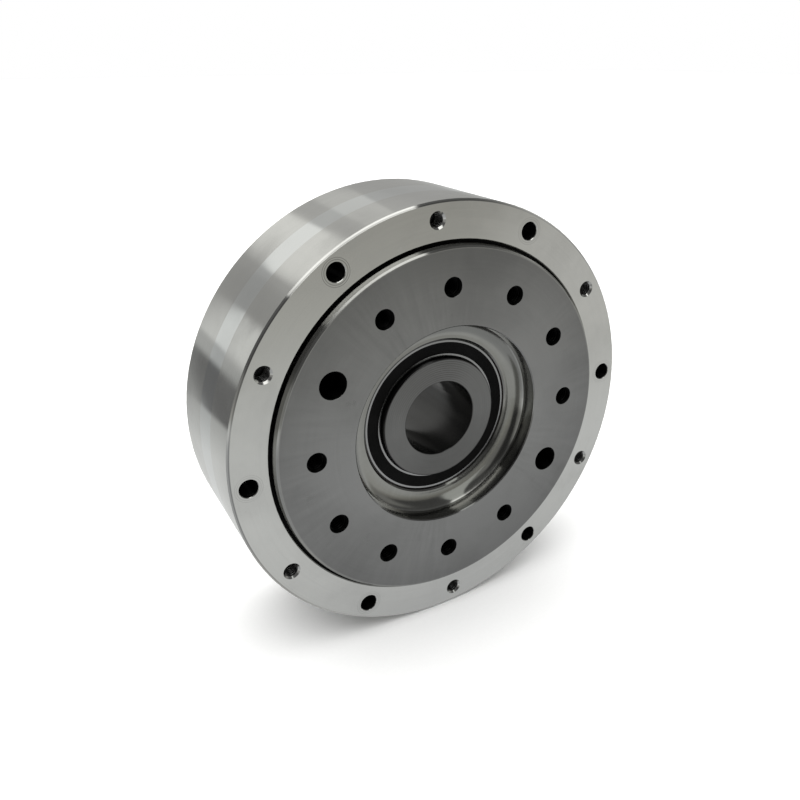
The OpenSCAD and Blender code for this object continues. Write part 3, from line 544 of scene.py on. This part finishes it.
def turned_steel(name, shade, roughness, stretch, marks_per_metre, contrast, depth, seed, cloud=0.05,
                 warm=(1.0, 1.0, 1.0), by_radius=(), gloss_by_radius=(), holes=(), painted_hole_shade=0.04,
                 groove=0.0, groove_depth=0.0, smear=0.0, washer_prints=()):
    """A lathe-turned steel. shade is the grey, stretch the pull of its gloss, depth a mark's height.

    by_radius lists (radius, factor on the shade, tint), gloss_by_radius (radius, factor on the
    roughness), holes (circle, count, first angle, reach), and washer_prints (circle, angle, strength).
    """
    material, tree = blank_material(name)
    marks = use_group(tree, marks_group, Face_Marks=marks_per_metre, Side_Marks=marks_per_metre, Seed=seed)
    hand = use_group(tree, hand_group, Cloud_Size=38.0, Scratch_Size=240.0, Seed=seed)

    light = [min(1.0, shade * (1 + contrast) * w) for w in warm]
    dark = [shade * (1 - contrast) * w for w in warm]
    colour = blend_colours(tree, marks["Pattern"], (*dark, 1), (*light, 1))
    if by_radius:
        tints = radius_factors(tree, marks["Radius"], [
            (at, [factor * part for part in tint]) for at, factor, tint in by_radius])
        colour = blend_colours(tree, 1.0, colour, tints, "MULTIPLY")

    # Each mark of use changes the tone by its own share
    uses = [(hand["Cloud"], -cloud_dimming)]
    if smear:
        uses.append((use_group(tree, smear_group, Seed=seed)["Streaks"], smear))
    for circle, angle, strength in washer_prints:
        uses.append((use_group(tree, washer_group, Circle=circle, First=angle)["Rings"], strength))
    tone = 1.0
    for mark, strength in uses:
        change = maths(tree, "ADD", 1.0, maths(tree, "MULTIPLY", mark, strength))
        tone = maths(tree, "MULTIPLY", tone, change)

    rough = maths(tree, "ADD", roughness, maths(tree, "MULTIPLY", hand["Cloud"], cloud))
    rough = maths(tree, "ADD", rough, maths(tree, "MULTIPLY", hand["Scratch"], scratch_dulling))
    if gloss_by_radius:
        dulled = radius_factors(tree, marks["Radius"], [(at, (by,) * 3) for at, by in gloss_by_radius])
        rough = maths(tree, "MULTIPLY", rough, dulled)
    # Round each hole's axis the steel is painted dark, as painted shade, and dulled
    for circle, count, first, reach in holes:
        in_hole = use_group(tree, hole_group, Circle=circle, Count=count, First=first, Reach=reach)["Mask"]
        tone = maths(tree, "MULTIPLY", tone, ramp_up(tree, in_hole, 0.0, 1.0, 1.0, painted_hole_shade))
        rough = maths(tree, "ADD", rough, maths(tree, "MULTIPLY", in_hole, hole_dulling))
    greyed = place(tree, "ShaderNodeCombineXYZ", (), X=tone, Y=tone, Z=tone).outputs[0]
    colour = blend_colours(tree, 1.0, colour, greyed, "MULTIPLY")

    height = maths(tree, "MULTIPLY", marks["Pattern"], depth)
    if groove:
        wave = maths(tree, "SINE", maths(tree, "MULTIPLY", marks["Radius"], math.tau / groove))
        height = maths(tree, "ADD", height, maths(tree, "MULTIPLY", wave, groove_depth))
    bump = place(tree, "ShaderNodeBump", (), Strength=1.0, Distance=1.0, Height=height)
    tangent = place(tree, "ShaderNodeTangent", {"direction_type": "RADIAL", "axis": "Y"})
    shader = place(tree, "ShaderNodeBsdfPrincipled", (), Base_Color=colour, Metallic=1.0, Roughness=rough,
                   Normal=bump.outputs[0], Tangent=tangent.outputs[0])
    shader.inputs["Anisotropic"].default_value = stretch
    shader.inputs["Anisotropic Rotation"].default_value = 0.25
    place(tree, "ShaderNodeOutputMaterial", (), Surface=shader.outputs[0])
    return material


def dress(material, *nodes):
    """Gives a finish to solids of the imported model."""
    for name in nodes:
        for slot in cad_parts[name].material_slots:
            slot.material = material
    print(material.name, "on", len(nodes), "pieces")


# %% [markdown]
# The case
#
# Three rings make the case. The front and rear rings are turned and a little warm in colour. The ring of
# pins between them is ground, so it is brighter and its bands are crisper, and that is what shows where
# one ring ends and the next begins. A thin band of painted shade darkens the inner half of the rim's
# chamfer, so that the chamfer's highlight looks thinner, and the holes get painted shade on their walls
# and mouths. Five of the six clear holes keep the faint print of a washer.

# %% Dress the case
bolt_circle = 0.0645
case_turn = 3.5
clear_holes = (bolt_circle, 6, case_turn, 0.00279)
tapped_holes = (bolt_circle, 6, case_turn + 30, 0.00205)
# pale is the tint of the flange's painted highlights
plain, oily, pale = (1.0, 1.0, 1.0), (1.01, 1.01, 0.965), (1.0, 1.0, 0.97)
# Degrees on from the first clear hole, and how strong the print there is
washer_strengths = {120: 0.35, 180: 0.10, 240: 0.12, 60: 0.14, 0: 0.10}
# The 0.55 band just inside the rim is painted shade that thins the chamfer's highlight
case_steel = turned_steel(
    "case_steel", shade=0.60, roughness=0.095, stretch=0.85, marks_per_metre=1400.0, contrast=0.05,
    depth=0.0000012, seed=2.0, warm=(1.0, 1.0, 0.965),
    by_radius=((case_radius - 0.00070, 1.0, plain), (case_radius - 0.00065, 0.55, plain),
               (case_radius - 0.00040, 0.55, plain), (case_radius - 0.00030, 1.0, plain),
               (case_radius - 0.00008, 1.0, plain), (case_radius - 0.00002, 0.88, plain)),
    holes=(clear_holes, tapped_holes), painted_hole_shade=0.05,
    washer_prints=[(bolt_circle, case_turn + angle, by) for angle, by in washer_strengths.items()])
ground_steel = turned_steel(
    "ground_steel", shade=0.605, roughness=0.055, stretch=0.80, marks_per_metre=2000.0, contrast=0.03,
    depth=0.0000006, seed=4.0, cloud=0.03, warm=(0.98, 1.0, 0.99), holes=(clear_holes, tapped_holes))
dress(case_steel, "front_case_ring", "rear_case_ring")
dress(ground_steel, "pin_ring")

# %% [markdown]
# The output flange
#
# The flange is a darker steel. It is darkest near its rim and lighter towards the dish, whose rounded
# wall is glossier and has a greenish brown cast from the cutting oil. A painted highlight follows the step
# round the dish, and another the flange's rim. Its twelve holes read black from edge to edge, with painted
# shade on their walls and mouths.

# %% Dress the flanges
flange_circle = 0.045
flange_holes = (flange_circle, 12, 0.0, 0.00310)
dowel_holes = (flange_circle, 2, 150.0, 0.00425)
dish_floor, dish_wall, dish_radius = 0.0260, 0.0319, 0.0326
chamfer_radius = flange_radius - 0.0009
# The pale factors at the dish's step and at the rim are painted highlights
flange_steel = turned_steel(
    "flange_steel", shade=0.25, roughness=0.20, stretch=0.86, marks_per_metre=1700.0, contrast=0.06,
    depth=0.0000008, seed=9.0, warm=(1.0, 1.0, 0.985), smear=0.30,
    by_radius=((dish_floor, 1.20, oily), (dish_wall, 1.25, oily), (dish_radius - 0.0006, 1.70, pale),
               (dish_radius - 0.0001, 1.70, pale), (dish_radius + 0.0001, 1.08, plain),
               (flange_circle, 1.0, plain), (chamfer_radius - 0.0002, 0.86, plain),
               (chamfer_radius, 1.60, pale)),
    gloss_by_radius=((dish_radius, 0.62), (dish_radius + 0.0005, 1.0),
                     (chamfer_radius - 0.0002, 1.0), (chamfer_radius, 0.6)),
    holes=(flange_holes, dowel_holes), painted_hole_shade=0.02)
dress(flange_steel, "output_flange", "rear_flange")

# %% [markdown]
# The input shaft
#
# The hub's end was faced with a pointed tool, and its feed left grooves a little under three quarters of
# a millimetre apart. They are too shallow to see as shapes, but they break the reflections into fine
# rings, so they are a wave in the bump and nothing in the mesh. The bore's wall and the hub's outer edge
# are painted darker than the face, as painted shade.

# %% Dress the input shaft
bore_wall, bore_rim, hub_rim, hub_edge = 0.0124, 0.0128, 0.0195, 0.0199
# The 0.30 in the bore and the 0.5 at the hub's edge are painted shade
shaft_steel = turned_steel(
    "shaft_steel", shade=0.170, roughness=0.17, stretch=0.55, marks_per_metre=1500.0, contrast=0.10,
    depth=0.0000010, seed=14.0, warm=(1.0, 1.0, 0.985), groove=0.00072, groove_depth=0.000018,
    by_radius=((bore_wall, 0.30, plain), (bore_rim, 1.0, plain), (hub_rim, 1.0, plain),
               (hub_edge, 0.5, plain)))
dress(shaft_steel, "input_shaft")

# %% [markdown]
# Bearing rings, discs and pressed cages
#
# Bearing rings are ground, so their marks are finer than the lathe's and their gloss is tighter. The
# cycloid discs are ground on their faces, and the shaft bearings' cages are pressed from strip, which is
# duller and coarser.

# %% Dress the rings, discs and pressed cages
race_steel = turned_steel("race_steel", shade=0.34, roughness=0.16, stretch=0.30, marks_per_metre=2500.0,
                          contrast=0.03, depth=0.0000008, seed=21.0)
disc_steel = turned_steel("disc_steel", shade=0.50, roughness=0.20, stretch=0.30, marks_per_metre=2000.0,
                          contrast=0.04, depth=0.0000010, seed=33.0)
cage_steel = turned_steel("cage_steel", shade=0.48, roughness=0.28, stretch=0.20, marks_per_metre=900.0,
                          contrast=0.05, depth=0.0000015, seed=27.0)
races = [f"{end}_{bearing}_{ring}_race" for bearing in ("main", "shaft")
         for ring in ("outer", "inner") for end in ("front", "rear")]
dress(race_steel, *races, "output_pin_sleeves")
dress(disc_steel, "front_cycloid_disc", "rear_cycloid_disc")
dress(cage_steel, "front_shaft_cage", "rear_shaft_cage")

# %% [markdown]
# Polished, sprung, blackened and yellow metal
#
# The small hardware shares one simpler recipe: a metal with a slow haze, fine grain in its gloss and a
# slight bump. Balls, rollers and pins are hardened and polished, with no direction of their own. Only the
# numbers change, from these mirrors to the satin of blackened screws. Black oxide isn't quite a metal to
# the eye, so it keeps a little of the plain surface's gloss.

# %% Define and use the small-hardware recipe
darkening = 0.84


def small_metal(name, colour, roughness, haze, grain, grain_depth, seed, metallic=1.0):
    """A metal without turning marks. haze is how far its gloss varies, grain the size of its texture."""
    material, tree = blank_material(name)
    hand = use_group(tree, hand_group, Cloud_Size=120.0, Scratch_Size=500.0, Seed=seed)
    where = place(tree, "ShaderNodeTexCoord").outputs["Object"]
    speck = noise(tree, where, seed, Scale=grain, Detail=4.0)
    dark = (*[part * darkening for part in colour], 1)
    tint = blend_colours(tree, hand["Cloud"], (*colour, 1), dark)
    tint = blend_colours(tree, ramp_up(tree, speck, 0.45, 0.75, 0.0, 0.4), tint, dark)
    rough = maths(tree, "ADD", roughness, maths(tree, "MULTIPLY", hand["Cloud"], haze))
    rough = maths(tree, "ADD", rough, maths(tree, "MULTIPLY", speck, haze * 0.5))
    bump = place(tree, "ShaderNodeBump", (), Strength=1.0, Distance=grain_depth, Height=speck)
    shader = place(tree, "ShaderNodeBsdfPrincipled", (), Base_Color=tint, Roughness=rough,
                   Normal=bump.outputs[0])
    shader.inputs["Metallic"].default_value = metallic
    place(tree, "ShaderNodeOutputMaterial", (), Surface=shader.outputs[0])
    return material


hardened_steel = small_metal("hardened_steel", (0.62, 0.63, 0.65), roughness=0.07, haze=0.06, grain=900.0,
                             grain_depth=0.0000010, seed=41.0)
spring_steel = small_metal("spring_steel", (0.20, 0.20, 0.21), roughness=0.26, haze=0.10, grain=1400.0,
                           grain_depth=0.0000060, seed=43.0)
screw_black = small_metal("screw_black", (0.045, 0.045, 0.048), roughness=0.34, haze=0.14, grain=1800.0,
                          grain_depth=0.0000080, seed=47.0, metallic=0.55)
cage_brass = small_metal("cage_brass", (0.72, 0.56, 0.28), roughness=0.24, haze=0.12, grain=1100.0,
                         grain_depth=0.0000040, seed=53.0)
dress(hardened_steel, "ring_pins", "case_dowels", "output_pins", "front_main_balls", "rear_main_balls",
      "front_shaft_balls", "rear_shaft_balls", "front_eccentric_rollers", "rear_eccentric_rollers")
dress(spring_steel, "bearing_circlip")
dress(screw_black, "case_screws", "flange_screws")
dress(cage_brass, "front_main_cage", "rear_main_cage", "front_eccentric_cage", "rear_eccentric_cage")

# %% [markdown]
# Rubber seals
#
# Nitrile rubber is almost black and quite dull, with a faint bloom where it has dried and a soft grain
# from its mould. It isn't a metal, so its gloss is white and weak, and the bloom shows as a slightly
# greyer patch.

# %% Dress the seals
rubber_black = (0.0022, 0.0022, 0.0022, 1)
rubber_bloom = (0.0040, 0.0040, 0.0040, 1)
seal_rubber, rubber_tree = blank_material("seal_rubber")
rubber_hand = use_group(rubber_tree, hand_group, Cloud_Size=90.0, Scratch_Size=300.0, Seed=61.0)
rubber_place = place(rubber_tree, "ShaderNodeTexCoord").outputs["Object"]
rubber_grain = place(rubber_tree, "ShaderNodeTexNoise", (), Vector=rubber_place, Scale=2600.0,
                     Detail=3.0).outputs[0]
rubber_tint = blend_colours(rubber_tree, rubber_hand["Cloud"], rubber_black, rubber_bloom)
rubber_rough = maths(rubber_tree, "ADD", 0.48, maths(rubber_tree, "MULTIPLY", rubber_grain, 0.18))
rubber_bump = place(rubber_tree, "ShaderNodeBump", (), Strength=1.0, Distance=0.000012,
                    Height=rubber_grain)
rubber_shader = place(rubber_tree, "ShaderNodeBsdfPrincipled", (), Base_Color=rubber_tint,
                      Roughness=rubber_rough, Normal=rubber_bump.outputs[0])
rubber_shader.inputs["Specular IOR Level"].default_value = 0.10
place(rubber_tree, "ShaderNodeOutputMaterial", (), Surface=rubber_shader.outputs[0])
dress(seal_rubber, "front_shaft_seals", "rear_shaft_seals", "front_oil_seal", "rear_oil_seal",
      "case_o_rings")

# %% [markdown]
# Threads
#
# The solids have plain holes at the size of a thread's core. A real tapped hole shows its thread as
# bright turns just inside the mouth, and its rule is simple: a ridge climbs by one pitch in each turn.
# Geometry Nodes draw it once, from a spiral and a four-sided profile, and set a copy in each hole of a
# circle. Realize Instances makes real mesh of the copies, because an exporter leaves instances out.

# %% Build the thread tree
root_depth, ridge_reach = 0.06, 0.24  # how deep the ridge's root lies, and its profile's radius, in pitches
close_enough = 0.01


def thread_tree():
    """The tree that draws one circle of threads."""
    tree = bpy.data.node_groups.new("tapped_threads", "GeometryNodeTree")
    for label, kind, value in (
            ("Circle", "Float", 0.045), ("Count", "Int", 12), ("First Angle", "Float", 0.0),
            ("Skip Every", "Int", 99), ("Skip From", "Int", 98), ("Core Radius", "Float", 0.0025),
            ("Pitch", "Float", 0.001), ("Turns", "Float", 10.0), ("Start", "Float", 0.0),
            ("Steps", "Int", 22), ("Finish", "Material", None)):
        socket = tree.interface.new_socket(name=label, in_out="INPUT", socket_type="NodeSocket" + kind)
        if value is not None:
            socket.default_value = value
    tree.interface.new_socket(name="Geometry", in_out="OUTPUT", socket_type="NodeSocketGeometry")
    given = {socket.name: socket for socket in place(tree, "NodeGroupInput").outputs}
    climb = maths(tree, "MULTIPLY", given["Pitch"], given["Turns"])
    # The ridge's root lies a little inside the wall, and its crest stands out of it
    root = maths(tree, "ADD", given["Core Radius"], maths(tree, "MULTIPLY", given["Pitch"], root_depth))
    spiral = place(tree, "GeometryNodeCurveSpiral", (), Resolution=given["Steps"],
                   Rotations=given["Turns"], Start_Radius=root, End_Radius=root, Height=climb)
    upright = place(tree, "GeometryNodeSetCurveNormal", {"mode": "Z_UP"}, Curve=spiral.outputs[0])
    profile = place(tree, "GeometryNodeCurvePrimitiveCircle", (), Resolution=4,
                    Radius=maths(tree, "MULTIPLY", given["Pitch"], ridge_reach))
    ridge = place(tree, "GeometryNodeCurveToMesh", (), Curve=upright.outputs[0],
                  Profile_Curve=profile.outputs[0], Fill_Caps=True)
    # One point stands at each hole, apart from the places that a dowel takes
    holes = place(tree, "GeometryNodeMeshCircle", (), Vertices=given["Count"], Radius=given["Circle"])
    number = place(tree, "GeometryNodeInputIndex").outputs[0]
    in_run = maths(tree, "FLOORED_MODULO", number, given["Skip Every"])
    wanted = place(tree, "FunctionNodeCompare", {"data_type": "FLOAT", "operation": "NOT_EQUAL"},
                   i0=in_run, i1=given["Skip From"], i12=close_enough)
    copies = place(tree, "GeometryNodeInstanceOnPoints", (), Points=holes.outputs[0],
                   Selection=wanted.outputs[0], Instance=ridge.outputs[0])
    turn = place(tree, "ShaderNodeCombineXYZ", (), Z=maths(tree, "RADIANS", given["First Angle"]))
    lift = place(tree, "ShaderNodeCombineXYZ", (), Z=given["Start"])
    placed = place(tree, "GeometryNodeTransform", (), Geometry=copies.outputs[0],
                   Translation=lift.outputs[0], Rotation=turn.outputs[0])
    laid = place(tree, "GeometryNodeTransform", (), Geometry=placed.outputs[0],
                 Rotation=(math.radians(90), 0, 0))
    real = place(tree, "GeometryNodeRealizeInstances", (), Geometry=laid.outputs[0])
    coated = place(tree, "GeometryNodeSetMaterial", (), Geometry=real.outputs[0],
                   Material=given["Finish"])
    place(tree, "NodeGroupOutput", (), Geometry=coated.outputs[0])
    return tree


threads = thread_tree()
print("Thread tree has", len(threads.nodes), "nodes")

# %% [markdown]
# Making mesh of the threads
#
# Each set of tapped holes is one object that carries the tree with its own numbers. Its result is copied
# into a plain mesh, with every face turned outwards, and the modifier goes before the piece is tied to
# the body that it turns with.

# %% Define how threads are cut
weld_distance = 0.0000001


def cut_threads(name, body, slot, finish, **given):
    """Bakes one circle of threads. given sets the tree's inputs by name."""
    holder = bpy.data.objects.new(name, bpy.data.meshes.new(name))
    bpy.context.collection.objects.link(holder)
    modifier = holder.modifiers.new("threads", "NODES")
    modifier.node_group = threads
    given["Finish"] = finish
    for item in threads.interface.items_tree:
        key = item.name.replace(" ", "_")
        if item.in_out == "INPUT" and key in given:
            modifier[item.identifier] = given[key]
    graph = bpy.context.evaluated_depsgraph_get()
    baked = bpy.data.meshes.new_from_object(holder.evaluated_get(graph))
    holder.modifiers.clear()
    shape = bmesh.new()
    shape.from_mesh(baked)
    bmesh.ops.remove_doubles(shape, verts=shape.verts, dist=weld_distance)
    bmesh.ops.recalc_face_normals(shape, faces=shape.faces)
    shape.to_mesh(baked)
    shape.free()
    holder.data = baked
    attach(holder, body)
    low, high = ([round(end(v.co[i] for v in baked.vertices) * 1000, 2) for i in range(3)]
                 for end in (min, max))
    print(name, len(baked.polygons), "faces, from", low, "to", high)


print("Threads are welded at", weld_distance, "m")

# %% [markdown]
# Cutting the threads
#
# The case's small holes, the flange's holes and the holes in the drive end are tapped. The flange's turns
# are painted nearly black, as painted shade deep in their holes, and the others are a mid grey steel,
# darker than the case's and partly painted shade, that still catches the light. Each thread is set by its
# core, its pitch, its turns and the place on the axis where it starts, with its sign turned round,
# because the tree builds the threads upright and then lays them down.

# %% Cut the threads
# Both thread finishes are darkened as painted shade in the holes, the flange's to nearly black
thread_bright = turned_steel("thread_bright", shade=0.22, roughness=0.16, stretch=0.0,
                             marks_per_metre=3000.0, contrast=0.04, depth=0.0000010, seed=71.0)
thread_dark = turned_steel("thread_dark", shade=0.02, roughness=0.40, stretch=0.0,
                           marks_per_metre=3000.0, contrast=0.10, depth=0.0000010, seed=73.0)
drive_circle = 0.016
cut_threads("case_threads", "housing", "case_steel", thread_bright, Circle=bolt_circle, Count=6,
            First_Angle=case_turn + 30, Core_Radius=0.0021, Pitch=0.0008, Turns=5.25, Start=-0.0049)
cut_threads("flange_threads", "output_carrier", "flange_steel", thread_dark, Circle=flange_circle,
            Count=12, First_Angle=0.0, Skip_Every=6, Skip_From=5, Core_Radius=0.0025, Pitch=0.001,
            Turns=10.5, Start=-flange_face - 0.0117)
cut_threads("drive_threads", "input_shaft", "shaft_steel", thread_bright, Circle=drive_circle, Count=6,
            First_Angle=0.0, Core_Radius=0.00165, Pitch=0.0007, Turns=9.5, Start=-drive_end + 0.0008)
